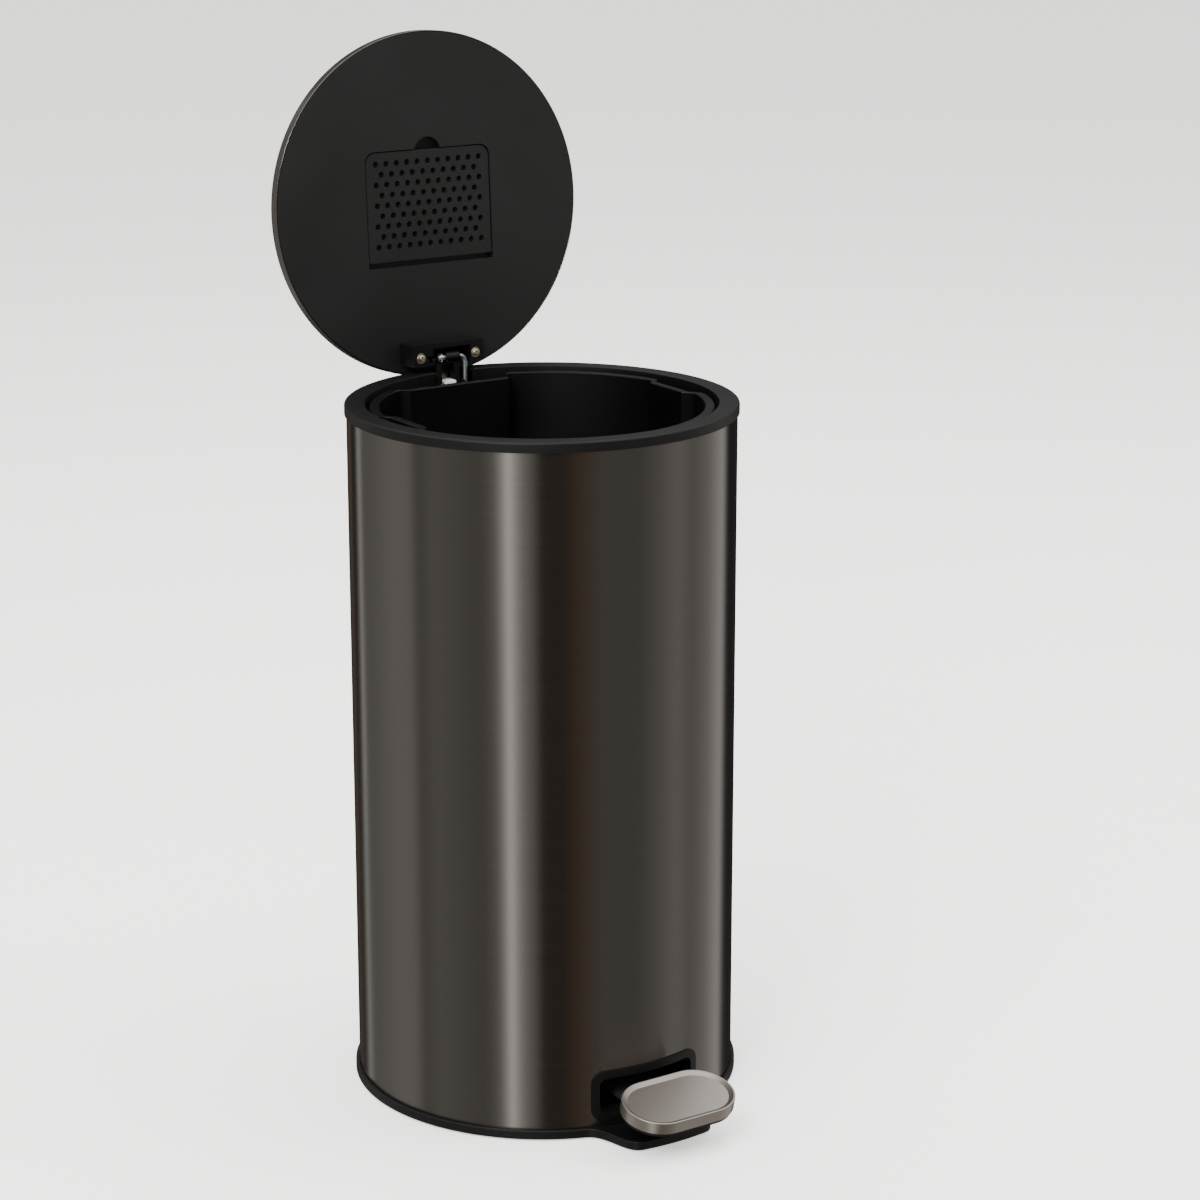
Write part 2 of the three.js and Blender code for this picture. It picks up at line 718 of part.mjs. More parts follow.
// perforated cover of the filter compartment, with its hinge pins at the edge nearest the lid hinge
function filterCover() {
  const low = underside + coverRecess;
  const outline = coverOutline(filterWidth, filterLength, coverCorner);
  for (let row = 0; row < ventRows; row += 1) {
    const count = row % 2 ? ventColumns - 1 : ventColumns;
    const y = (row - (ventRows - 1) / 2) * rowPitch - filterShift - ventShift;
    for (let i = 0; i < count; i += 1) {
      const hole = new THREE.Path();
      hole.absarc((i - (count - 1) / 2) * ventPitch, y, ventRadius, 0, 2 * Math.PI, true);
      outline.holes.push(hole);
    }
  }
  const sheet = solid(plate(outline, low, low + coverThickness, 3));
  const pinY = filterLength / 2 - filterShift - coverPinRadius - 0.6;
  const pins = [-1, 1].map((side) => {
    const inner = side * (filterWidth / 2 - 2);
    const outer = side * (openingWidth / 2 + 0.6);
    return bar('x', coverPinRadius, Math.min(inner, outer), Math.max(inner, outer),
      [pinY, low + coverThickness / 2], 12);
  });
  const corner = block([-filterWidth, pinY + coverPinRadius, low + coverThickness / 2],
    [filterWidth, pinY + 10, low + coverThickness + 1]);
  return fromCentre(geometryOf(cut(sheet, corner).add(solid(pins[0])).add(solid(pins[1]))));
}

piece(lid, 'filter_cover', filterCover(), panelPlastic);

// ---------------------------------------------------------------- lift rod
// A straight rod down behind the bucket, bent over at the top into the sleeve.

const rodTop = [hingeReach - rodAttachAhead, pinHeight + rodAttachUp];
const leverLift = Math.tan(THREE.MathUtils.degToRad(leverRest));
const rodLow = axleHeight + (rodTop[0] + axleBack) * leverLift + leverThickness + 0.5;

function liftRod() {
  const elbow = new THREE.SphereGeometry(rodRadius, smallSteps, smallSteps / 2);
  elbow.translate(rodX, ...rodTop);
  return geometryOf(join(
    bar('x', rodRadius, rodTip, rodX, rodTop),
    bar('z', rodRadius, rodLow, rodTop[1], [rodX, rodTop[0]]),
    elbow,
  ));
}

function rodRetainer() {
  const from = rodTip + 1.5;
  const to = from + retainerThickness;
  return geometryOf(cut(
    solid(bar('x', retainerRadius, from, to, rodTop)),
    bar('x', rodRadius + 0.1, from - 5, to + 5, rodTop),
  ));
}

piece(bin, 'lift_rod', liftRod(), zincSteel);
piece(bin, 'rod_retainer', rodRetainer(), zincSteel);

// ---------------------------------------------------------------- pedal
// The lever is built level about the axle and tipped to its pressed angle. The pad sits on its nose.

const pedal = new THREE.Group();
pedal.position.set(0, -axleBack, axleHeight);
bin.add(pedal);

const pad = new THREE.Group();
pad.position.set(0, axleBack - padCentre, padHeight - axleHeight);
pad.rotation.x = THREE.MathUtils.degToRad(padTilt);
pedal.add(pad);

// side view of the lever as a strip of even thickness along a centre line in y and z
function strip(line, thickness, width) {
  const upper = [];
  const lower = [];
  line.forEach((point, i) => {
    const before = line[Math.max(i - 1, 0)];
    const after = line[Math.min(i + 1, line.length - 1)];
    const way = new THREE.Vector2().subVectors(after, before).normalize();
    const side = new THREE.Vector2(-way.y, way.x).multiplyScalar(thickness / 2);
    upper.push(point.clone().add(side));
    lower.unshift(point.clone().sub(side));
  });
  const geometry = plate(new THREE.Shape([...upper, ...lower]), 0, width);
  geometry.rotateX(Math.PI / 2);
  geometry.rotateZ(Math.PI / 2);
  geometry.translate(-width / 2, 0, 0);
  return geometry;
}

const trayUnder = -padSkirt - trayDepth;
const padScrews = [-leverWidth / 2 + 8, leverWidth / 2 - 8];
const padScrewY = 4;

// moves a piece made in the pad's frame to the pedal's frame
function inPad(geometry) {
  geometry.rotateX(THREE.MathUtils.degToRad(padTilt));
  geometry.translate(0, axleBack - padCentre, padHeight - axleHeight);
  return geometry;
}

// pressed steel lever: a flat bar with two ears round the axle, rising to the pad at its nose
function pedalLever() {
  const tip = THREE.MathUtils.degToRad(leverRest);
  const on = (distance) => new THREE.Vector2(distance * Math.cos(tip), distance * Math.sin(tip));
  const tilt = THREE.MathUtils.degToRad(padTilt);
  const nose = new THREE.Vector2(axleBack - padCentre, padHeight - axleHeight);
  const under = (along) => new THREE.Vector2(
    nose.x + along * Math.cos(tilt) - (trayUnder - leverThickness / 2 - seatGap) * Math.sin(tilt),
    nose.y + along * Math.sin(tilt) + (trayUnder - leverThickness / 2 - seatGap) * Math.cos(tilt),
  );
  const mouth = bodyRadius - axleBack;
  const line = [on(hingeReach + axleBack), on(-mouth), under(padWidth / 2 - 4), under(-12)];
  const ear = 5;
  const inner = leverWidth / 2 - leverThickness;
  const lever = join(
    strip(line, leverThickness, leverWidth),
    bar('x', axleRadius + ear, inner, leverWidth / 2),
    bar('x', axleRadius + ear, -leverWidth / 2, -inner),
  );
  const drills = padScrews.map((x) =>
    inPad(bar('z', screwShankRadius + runGap, trayUnder - 2 * leverThickness, trayUnder, [x, padScrewY], 12)));
  return geometryOf(cut(lever, bar('x', axleRadius + runGap, -60, 60), ...drills));
}

const stadium = (shrink) => roundedRectangle(padLength - 2 * shrink, padWidth - 2 * shrink, padWidth);

// pressed stainless cap with a raised rim and a shallow dish
function pedalCap() {
  return geometryOf(cut(
    solid(plate(stadium(0), -padSkirt, 0, 6)),
    plate(stadium(padRim), -padDish, 1, 6),
    plate(stadium(padSheet), -padSkirt - 1, -padDish - padSheet, 6),
  ));
}

// moulded tray that fills the cap from below and shows as a black edge
function pedalTray() {
  const inside = stadium(padSheet + trayGap);
  const body = join(
    plate(inside, -padSkirt - 0.5, -padDish - padSheet - trayGap, 6),
    plate(stadium(1.5), trayUnder, -padSkirt - trayGap, 6),
  );
  const drills = padScrews.map((x) =>
    bar('z', screwShankRadius + runGap, trayUnder - 1, -padSkirt + 3, [x, padScrewY], 12));
  return geometryOf(cut(body, ...drills));
}

// screw that holds the pad on the lever's nose
function padScrew(x) {
  const head = trayUnder - 2 * seatGap - leverThickness;
  return geometryOf(join(
    bar('z', screwHeadRadius, head - 2, head, [x, padScrewY]),
    bar('z', screwShankRadius, head - 0.5, -padSkirt + 2, [x, padScrewY], 12),
  ));
}

piece(pedal, 'pedal_lever', pedalLever(), zincSteel);
piece(pad, 'pedal_cap', pedalCap(), paleSteel);
piece(pad, 'pedal_tray', pedalTray(), blackPlastic);
piece(pad, 'pad_screw_left', padScrew(padScrews[0]), zincSteel);
piece(pad, 'pad_screw_right', padScrew(padScrews[1]), zincSteel);

export default bin;
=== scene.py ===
# Round kitchen pedal bin: dark brushed steel body, black moulded rings, a lid that stands open on
# its hinge, a lift-out bucket and a steel foot pedal. Sizes are millimetres turned to metres.
import math
import bpy
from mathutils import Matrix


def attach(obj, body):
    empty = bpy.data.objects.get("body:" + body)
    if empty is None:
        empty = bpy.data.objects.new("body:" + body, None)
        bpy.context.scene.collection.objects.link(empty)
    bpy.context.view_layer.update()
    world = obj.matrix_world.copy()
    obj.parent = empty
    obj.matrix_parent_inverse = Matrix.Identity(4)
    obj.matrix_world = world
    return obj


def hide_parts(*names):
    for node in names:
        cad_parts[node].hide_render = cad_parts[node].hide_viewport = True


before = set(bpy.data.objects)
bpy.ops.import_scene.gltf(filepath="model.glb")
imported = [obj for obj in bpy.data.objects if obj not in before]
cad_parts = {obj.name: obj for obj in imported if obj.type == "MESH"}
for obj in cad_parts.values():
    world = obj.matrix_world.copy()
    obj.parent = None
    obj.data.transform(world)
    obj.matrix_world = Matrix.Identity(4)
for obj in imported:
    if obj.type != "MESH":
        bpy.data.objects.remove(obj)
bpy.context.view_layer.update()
mm = 0.001

# ---------------------------------------------------------------- outer shell
# The body is a tube of 0.7 mm stainless sheet, rolled and seamed at the back. It is tinted dark
# and brushed round the tube. A rounded opening for the pedal is punched low in its front.
shell_radius = 147
shell_wall = 0.7
shell_low = 3.8
shell_high = 531.8
opening_half = 42
opening_low = 17.5
opening_high = 46.5
opening_corner = 6.75
round_steps = 240


# a ring or disc about the body's axis: a circle is extruded and scaled from point to point
# of an outline of (radius, height) in millimetres
def turned_piece(name, outline, closed=True, steps=round_steps):
    bpy.ops.object.select_all(action="DESELECT")
    radius, height = outline[0]
    bpy.ops.mesh.primitive_circle_add(vertices=steps, radius=radius * mm, location=(0, 0, height * mm))
    piece = bpy.context.object
    piece.name = name
    bpy.ops.object.transform_apply(location=True, rotation=False, scale=False)
    bpy.ops.object.mode_set(mode="EDIT")
    bpy.ops.mesh.select_all(action="SELECT")
    ends = outline[1:] + outline[:1] if closed else outline[1:]
    for (r0, z0), (r1, z1) in zip(outline, ends):
        bpy.ops.mesh.extrude_region_move(TRANSFORM_OT_translate={"value": (0, 0, (z1 - z0) * mm)})
        bpy.ops.transform.resize(value=(r1 / r0, r1 / r0, 1), center_override=(0, 0, z1 * mm))
    bpy.ops.mesh.select_all(action="SELECT")
    bpy.ops.mesh.remove_doubles(threshold=0.02 * mm)
    bpy.ops.mesh.normals_make_consistent(inside=False)
    bpy.ops.object.mode_set(mode="OBJECT")
    return piece


# opens a piece in edit mode with only the wanted vertices, edges or faces selected
def pick(piece, kind, wanted):
    bpy.ops.object.select_all(action="DESELECT")
    piece.select_set(True)
    bpy.context.view_layer.objects.active = piece
    bpy.ops.object.mode_set(mode="EDIT")
    bpy.ops.mesh.select_mode(type=kind)
    bpy.ops.mesh.select_all(action="DESELECT")
    bpy.ops.object.mode_set(mode="OBJECT")
    parts = {"VERT": piece.data.vertices, "EDGE": piece.data.edges, "FACE": piece.data.polygons}[kind]
    for part in parts:
        part.select = wanted(part)
    bpy.ops.object.mode_set(mode="EDIT")


# a block between two corners, its four edges along one axis rounded
def rounded_block(name, low, high, along="z", radius=0, steps=8):
    bpy.ops.object.select_all(action="DESELECT")
    middle = [(a + b) / 2 * mm for a, b in zip(low, high)]
    bpy.ops.mesh.primitive_cube_add(size=1, location=middle)
    piece = bpy.context.object
    piece.name = name
    piece.scale = [(b - a) * mm for a, b in zip(low, high)]
    bpy.ops.object.transform_apply(location=True, rotation=False, scale=True)
    if radius:
        axis = "xyz".index(along)
        corners = piece.data.vertices
        pick(piece, "EDGE", lambda edge: abs(
            corners[edge.vertices[0]].co[axis] - corners[edge.vertices[1]].co[axis]) > 0.01 * mm)
        bpy.ops.mesh.bevel(offset=radius * mm, segments=steps, affect="EDGES")
        bpy.ops.object.mode_set(mode="OBJECT")
    return piece


# joins, cuts or intersects a piece with others, which are used up
def shape_with(piece, operation, *tools):
    for tool in tools:
        change = piece.modifiers.new("shape", "BOOLEAN")
        change.operation = operation
        change.solver = "EXACT"
        change.object = tool
        bpy.context.view_layer.objects.active = piece
        bpy.ops.object.modifier_apply(modifier=change.name)
        bpy.data.objects.remove(tool)


# an sRGB hex colour as linear values
def linear(colour):
    parts = [int(colour[i:i + 2], 16) / 255 for i in (1, 3, 5)]
    return [c / 12.92 if c <= 0.04045 else ((c + 0.055) / 1.055) ** 2.4 for c in parts] + [1]


# adds a node with its settings, its inputs' values and the links into it
def add_node(tree, kind, settings=None, values=None, links=None):
    node = tree.nodes.new(kind)
    for key, value in (settings or {}).items():
        setattr(node, key, value)
    for key, value in (values or {}).items():
        node.inputs[key].default_value = value
    for key, socket in (links or {}).items():
        tree.links.new(socket, node.inputs[key])
    return node


# Brushed metal: grain along the brushing, as thin streaks of roughness and height.
# stretch is how many streak lengths fit in a metre along X, Y and Z.
def brushed_metal(name, colour, roughness, stretch, anisotropy, depth, shade):
    roughness_spread = 0.03
    made = bpy.data.materials.new(name)
    made.use_nodes = True
    tree = made.node_tree
    shader = tree.nodes["Principled BSDF"]
    place = add_node(tree, "ShaderNodeTexCoord")
    along = add_node(tree, "ShaderNodeMapping", values={"Scale": stretch},
                     links={"Vector": place.outputs["Object"]})
    grain = add_node(tree, "ShaderNodeTexNoise", values={"Scale": 1, "Detail": 3, "Roughness": 0.6},
                     links={"Vector": along.outputs["Vector"]})
    rough = add_node(tree, "ShaderNodeMapRange",
                     values={"From Min": 0.3, "From Max": 0.7, "To Min": roughness - roughness_spread,
                             "To Max": roughness + roughness_spread},
                     links={"Value": grain.outputs["Fac"]})
    dark = [c * (1 - shade) for c in linear(colour)[:3]] + [1]
    light = [min(c * (1 + shade), 1) for c in linear(colour)[:3]] + [1]
    tint = add_node(tree, "ShaderNodeMix", {"data_type": "RGBA"}, {"A": dark, "B": light},
                    {"Factor": grain.outputs["Fac"]})
    relief = add_node(tree, "ShaderNodeBump", values={"Strength": 0.12, "Distance": depth * mm},
                      links={"Height": grain.outputs["Fac"]})
    shader.inputs["Metallic"].default_value = 1
    shader.inputs["Anisotropic"].default_value = anisotropy
    tree.links.new(tint.outputs["Result"], shader.inputs["Base Color"])
    tree.links.new(rough.outputs["Result"], shader.inputs["Roughness"])
    tree.links.new(relief.outputs["Normal"], shader.inputs["Normal"])
    return made, tree, shader


# gives a piece its material, its body and the CAD node that it stands for
def settle(piece, body, nodes, material, smooth=35):
    bpy.ops.object.select_all(action="DESELECT")
    piece.select_set(True)
    bpy.context.view_layer.objects.active = piece
    bpy.ops.object.shade_smooth_by_angle(angle=math.radians(smooth))
    even = piece.modifiers.new("even", "WEIGHTED_NORMAL")
    even.keep_sharp = True
    bpy.ops.object.modifier_apply(modifier=even.name)
    piece.data.materials.clear()
    piece.data.materials.append(material)
    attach(piece, body)
    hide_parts(*nodes)


# gives CAD nodes that are shown as they are their material
def finish_nodes(material, *names):
    for name in names:
        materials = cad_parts[name].data.materials
        materials.clear()
        materials.append(material)


# Tinted brushed stainless steel, type 304 with a dark interference coat. The grain runs round
# the tube in 0.5 mm streaks, and spreads each highlight upright, across itself.
tinted_steel, tinted_tree, tinted_shader = brushed_metal(
    "Tinted brushed stainless", "#787470", 0.21, (12, 12, 2000), 0.9, 0.006, 0.02)
tinted_shader.inputs["Anisotropic Rotation"].default_value = 0.25
round_the_tube = add_node(tinted_tree, "ShaderNodeTangent", {"direction_type": "RADIAL", "axis": "Z"})
tinted_tree.links.new(round_the_tube.outputs["Tangent"], tinted_shader.inputs["Tangent"])

shell = turned_piece("steel_shell", [
    (shell_radius, shell_low), (shell_radius, shell_high),
    (shell_radius - shell_wall, shell_high), (shell_radius - shell_wall, shell_low),
])
shape_with(shell, "DIFFERENCE",
           rounded_block("pedal_way", (-opening_half, -155, opening_low),
                         (opening_half, -105, opening_high), "y", opening_corner))
settle(shell, "body", ["outer_shell"], tinted_steel)
finish_nodes(tinted_steel, "shell_seam")

# ---------------------------------------------------------------- top ring
# A black moulded ring is pressed over the shell's top edge. Inside it a ledge carries the
# bucket, and at the back a notch lets the hinge through.


# Moulded plastic: a spark-eroded grain of fine bumps, and a faint mottle of roughness.
# grain is the size of one bump in millimetres.
def moulded_plastic(name, colour, roughness, grain, depth, mottle=0.06):
    made = bpy.data.materials.new(name)
    made.use_nodes = True
    tree = made.node_tree
    shader = tree.nodes["Principled BSDF"]
    place = add_node(tree, "ShaderNodeTexCoord")
    bumps = add_node(tree, "ShaderNodeTexNoise", values={"Scale": 1 / (grain * mm), "Detail": 2},
                     links={"Vector": place.outputs["Object"]})
    cloud = add_node(tree, "ShaderNodeTexNoise", values={"Scale": 14, "Detail": 4},
                     links={"Vector": place.outputs["Object"]})
    rough = add_node(tree, "ShaderNodeMapRange",
                     values={"From Min": 0.3, "From Max": 0.7, "To Min": roughness - mottle,
                             "To Max": roughness + mottle},
                     links={"Value": cloud.outputs["Fac"]})
    dark = [c * 0.9 for c in linear(colour)[:3]] + [1]
    light = [c * 1.12 for c in linear(colour)[:3]] + [1]
    tint = add_node(tree, "ShaderNodeMix", {"data_type": "RGBA"}, {"A": dark, "B": light},
                    {"Factor": cloud.outputs["Fac"]})
    relief = add_node(tree, "ShaderNodeBump", values={"Strength": 0.3, "Distance": depth * mm},
                      links={"Height": bumps.outputs["Fac"]})
    shader.inputs["IOR"].default_value = 1.42
    tree.links.new(tint.outputs["Result"], shader.inputs["Base Color"])
    tree.links.new(rough.outputs["Result"], shader.inputs["Roughness"])
    tree.links.new(relief.outputs["Normal"], shader.inputs["Normal"])
    return made


# Black polypropylene with a fine matt grain, 0.9 mm bumps.
black_polypropylene = moulded_plastic("Black polypropylene", "#060606", 0.5, 0.9, 0.02)

ring = turned_piece("ring_cap", [
    (148.3, 528.0), (148.5, 528.2), (148.5, 533.9), (148.38, 534.55), (148.05, 535.08),
    (147.6, 535.4), (147.0, 535.5), (134.0, 535.5), (133.5, 535.4), (133.13, 535.1), (133.0, 534.6),
    (133.0, 524.3), (132.7, 524.0), (126.8, 524.0), (126.5, 523.7), (126.5, 521.5), (135.5, 521.5),
    (135.5, 533.0), (144.5, 533.0), (144.5, 515.5), (146.0, 515.5), (146.0, 532.1), (147.3, 532.1),
    (147.3, 528.0),
])
hinge_notch = rounded_block("hinge_notch", (-13.9, 91.5, 470), (13.9, 161.5, 545))
shape_with(hinge_notch, "INTERSECT",
           turned_piece("notch_reach", [(146.15, 460), (146.15, 550), (1, 550), (1, 460)]))
bracket_way = rounded_block("bracket_way", (-33.5, 91.5, 470), (33.5, 161.5, 545))
shape_with(bracket_way, "INTERSECT",
           turned_piece("mouth_reach", [(133.05, 460), (133.05, 550), (1, 550), (1, 460)]))
rod_way = rounded_block("rod_way", (0, 91.5, 470), (19.9, 143.4, 545))
shape_with(ring, "DIFFERENCE", hinge_notch, bracket_way, rod_way)
settle(ring, "body", ["top_ring"], black_polypropylene)

# ---------------------------------------------------------------- base ring
# A black moulded skirt closes the foot of the shell. At the front it runs out in a flat tongue
# under the pedal, and its top edges are rounded by the mould.
base_radius = 150
skirt_middle = 4.5
skirt_height = 7
skirt_edge = 0.8
tongue_reach = 184.4
tongue_half = 38
tongue_blend = 15
sweep_pull = 17
sweep_steps = 24


# the skirt's outline seen from above, with the two sweeps into the tongue
def skirt_outline():
    side = math.asin((tongue_half + tongue_blend) / base_radius)
    tip = math.asin((tongue_half - tongue_blend / 1.5) / tongue_reach)
    points = []
    start = -math.pi / 2 + side
    sweep = 2 * math.pi - 2 * side
    for i in range(round_steps + 1):
        turn = start + sweep * i / round_steps
        points.append((base_radius * math.cos(turn), base_radius * math.sin(turn)))
    foot = points[-1]
    nose = (-tongue_reach * math.sin(tip), -tongue_reach * math.cos(tip))
    foot_pull = (foot[0] + sweep_pull * math.cos(side), foot[1] - sweep_pull * math.sin(side))
    nose_pull = (nose[0] - sweep_pull * math.cos(tip), nose[1] + sweep_pull * math.sin(tip))
    left = []
    for i in range(1, sweep_steps):
        t = i / sweep_steps
        shares = ((1 - t) ** 3, 3 * (1 - t) ** 2 * t, 3 * (1 - t) * t * t, t ** 3)
        corners = (foot, foot_pull, nose_pull, nose)
        left.append(tuple(sum(share * corner[axis] for share, corner in zip(shares, corners))
                          for axis in (0, 1)))
    points += left
    for i in range(sweep_steps + 1):
        turn = -math.pi / 2 - tip + 2 * tip * i / sweep_steps
        points.append((tongue_reach * math.cos(turn), tongue_reach * math.sin(turn)))
    points += [(-x, y) for x, y in reversed(left)]
    return points


path = bpy.data.curves.new("skirt_path", "CURVE")
path.dimensions = "2D"
path.fill_mode = "BOTH"
path.extrude = (skirt_height / 2 - skirt_edge) * mm
path.bevel_depth = skirt_edge * mm
path.bevel_resolution = 3
path.offset = -skirt_edge * mm
line = path.splines.new("POLY")
outline = skirt_outline()
line.points.add(len(outline) - 1)
for point, (x, y) in zip(line.points, outline):
    point.co = (x * mm, y * mm, 0, 1)
line.use_cyclic_u = True
skirt = bpy.data.objects.new("base_skirt", path)
bpy.context.collection.objects.link(skirt)
bpy.ops.object.select_all(action="DESELECT")
skirt.select_set(True)
bpy.context.view_layer.objects.active = skirt
bpy.ops.object.convert(target="MESH")
skirt = bpy.context.object
skirt.location = (0, 0, skirt_middle * mm)
bpy.ops.object.transform_apply(location=True, rotation=False, scale=False)
bpy.ops.object.mode_set(mode="EDIT")
bpy.ops.mesh.select_all(action="SELECT")
bpy.ops.mesh.remove_doubles(threshold=0.01 * mm)
bpy.ops.mesh.normals_make_consistent(inside=False)
bpy.ops.object.mode_set(mode="OBJECT")
shape_with(skirt, "DIFFERENCE",
           turned_piece("shell_seat", [(147.3, 3.5), (147.3, 20), (1, 20), (1, 3.5)]),
           turned_piece("plate_seat", [(142.6, -5), (142.6, 20), (1, 20), (1, -5)]))
settle(skirt, "body", ["base_ring"], black_polypropylene)

# ---------------------------------------------------------------- bottom plate and feet
# The round bottom plate is moulded in the same black plastic, and five rubber feet are pressed
# in its seats. They are plain round pieces.
finish_nodes(black_polypropylene, "base_plate")
# EPDM rubber, dull, with a coarse soft grain.
foot_rubber = moulded_plastic("Foot rubber", "#161616", 0.8, 1.6, 0.05)
finish_nodes(foot_rubber, "foot_pad_1", "foot_pad_2", "foot_pad_3", "foot_pad_4", "foot_pad_middle")

# ---------------------------------------------------------------- pedal frame
# A black moulded frame lines the pedal opening. Its face stands 1.2 mm proud of the steel and
# follows the curve of the tube, and its neck reaches 9 mm inside.
neck_gap = 0.3
neck_half = opening_half - neck_gap
neck_low = opening_low + neck_gap
neck_high = opening_high - neck_gap
neck_wall = 2


# small rounding along the sharp edges, as a mould or a press leaves it
def soften(piece, width, steps=2, sharper_than=40):
    edge = piece.modifiers.new("edge", "BEVEL")
    edge.width = width * mm
    edge.segments = steps
    edge.limit_method = "ANGLE"
    edge.angle_limit = math.radians(sharper_than)
    edge.use_clamp_overlap = True
    edge.harden_normals = False
    bpy.context.view_layer.objects.active = piece
    bpy.ops.object.modifier_apply(modifier=edge.name)


bezel = rounded_block("pedal_frame", (-47.5, -155, 12), (47.5, -100, 52), "y", 10, 10)
shape_with(bezel, "INTERSECT",
           turned_piece("frame_face", [(147.3, 7), (148.2, 7), (148.2, 57), (147.3, 57)]))
neck = rounded_block("frame_neck", (-neck_half, -160, neck_low), (neck_half, -90, neck_high),
                     "y", opening_corner - neck_gap)
shape_with(neck, "INTERSECT",
           turned_piece("neck_depth", [(137.0, 10), (147.6, 10), (147.6, 54), (137.0, 54)]))
shape_with(bezel, "UNION", neck)
flare = rounded_block("frame_flare", (-41.5, -165, 17.9), (41.5, -80, 46.1), "y", 6.3)
shape_with(flare, "INTERSECT",
           turned_piece("flare_depth", [(145.4, 10), (150, 10), (150, 54), (145.4, 54)]))
shape_with(bezel, "DIFFERENCE",
           rounded_block("frame_hole", (-neck_half + neck_wall, -165, neck_low + neck_wall),
                         (neck_half - neck_wall, -80, neck_high - neck_wall), "y", 4.75), flare)
soften(bezel, 0.35, 3)
settle(bezel, "body", ["pedal_bezel"], black_polypropylene)

# ---------------------------------------------------------------- bucket
# The lift-out bucket is one black moulding with a flange that hangs on the ring's ledge. Its
# back is hollowed for the hinge, and both sides are flattened where fingers go in.
flange_top = 532.3
flange_low = 524.3
flange_radius = 129.5
hollow_from = -64
hollow_to = 38.5
hollow_y = 105
grip_half = 26.5
grip_x = 119

# Black polypropylene of the bucket, smoother than the ring.
bucket_polypropylene = moulded_plastic("Bucket polypropylene", "#030303", 0.42, 1.4, 0.03)


# draws the selected rim along an outline of (radius, height), and closes it with a floor
def draw_wall(outline):
    for (r0, z0), (r1, z1) in zip(outline, outline[1:]):
        bpy.ops.mesh.extrude_region_move(TRANSFORM_OT_translate={"value": (0, 0, (z1 - z0) * mm)})
        bpy.ops.transform.resize(value=(r1 / r0, r1 / r0, 1), center_override=(0, 0, z1 * mm))
    bpy.ops.mesh.edge_face_add()


bpy.ops.object.select_all(action="DESELECT")
bpy.ops.mesh.primitive_circle_add(vertices=288, radius=flange_radius * mm,
                                  location=(0, 0, flange_low * mm))
bucket = bpy.context.object
bucket.name = "lift_out_bucket"
bpy.ops.object.transform_apply(location=True, rotation=False, scale=False)
pick(bucket, "VERT", lambda v: hollow_from * mm < v.co.x < hollow_to * mm and v.co.y > 103 * mm)
bpy.ops.transform.resize(value=(1, 0, 1), center_override=(0, hollow_y * mm, 0))
bpy.ops.object.mode_set(mode="OBJECT")
for side in (-1, 1):
    pick(bucket, "VERT", lambda v: abs(v.co.y) < grip_half * mm and v.co.x * side > 0)
    bpy.ops.transform.resize(value=(0, 1, 1), center_override=(side * grip_x * mm, 0, 0))
    bpy.ops.object.mode_set(mode="OBJECT")
pick(bucket, "VERT", lambda v: v.co.y > 96 * mm and (abs(v.co.x - 40 * mm) < 4 * mm
                                                     or abs(v.co.x + 69 * mm) < 8 * mm))
bpy.ops.mesh.vertices_smooth(factor=0.5, repeat=3)
bpy.ops.object.mode_set(mode="OBJECT")
pick(bucket, "VERT", lambda v: abs(abs(v.co.y) - 28 * mm) < 4 * mm and abs(v.co.x) > 110 * mm)
bpy.ops.mesh.vertices_smooth(factor=0.5, repeat=2)
bpy.ops.mesh.select_all(action="SELECT")
draw_wall([
    (flange_radius, flange_low), (flange_radius, 531.9), (129.1, flange_top), (123.0, flange_top),
    (122.5, 531.8), (116.6, 66.0), (115.4, 62.0), (112.0, 60.0),
])
bpy.ops.object.mode_set(mode="OBJECT")
pick(bucket, "VERT", lambda v: abs(v.co.z - flange_low * mm) < 0.01 * mm)
draw_wall([
    (flange_radius, flange_low), (124.8, flange_low), (124.5, 523.8), (118.5, 66.0), (117.4, 60.5),
    (113.0, 58.0),
])
bpy.ops.mesh.select_all(action="SELECT")
bpy.ops.mesh.normals_make_consistent(inside=False)
bpy.ops.object.mode_set(mode="OBJECT")
settle(bucket, "bucket", ["inner_bucket"], bucket_polypropylene, 30)

# ---------------------------------------------------------------- lid cover
# The lid's outside is a shallow dish of the same tinted sheet, brushed straight across and
# rolled over at its edge. Lid pieces are made closed about the hinge pin, then swung open.
pin_y = 141.5
pin_z = 522
lid_middle = -pin_y
open_turn = math.radians(-93)


# swings a piece made with the closed lid to where it stands open
def swing_open(piece):
    bpy.ops.object.select_all(action="DESELECT")
    piece.select_set(True)
    bpy.context.view_layer.objects.active = piece
    piece.rotation_euler = (open_turn, 0, 0)
    piece.location = (0, pin_y * mm, pin_z * mm)
    bpy.ops.object.transform_apply(location=True, rotation=True, scale=False)


# moves a piece about the body's axis to the closed lid's middle
def to_lid_middle(piece):
    bpy.ops.object.select_all(action="DESELECT")
    piece.select_set(True)
    bpy.context.view_layer.objects.active = piece
    piece.location = (0, lid_middle * mm, 0)
    bpy.ops.object.transform_apply(location=True, rotation=False, scale=False)


# The same tinted steel, brushed in straight lines across the lid.
lid_steel = brushed_metal(
    "Tinted brushed stainless, lid", "#787470", 0.27, (5, 2000, 2000), 0.0, 0.01, 0.03)[0]

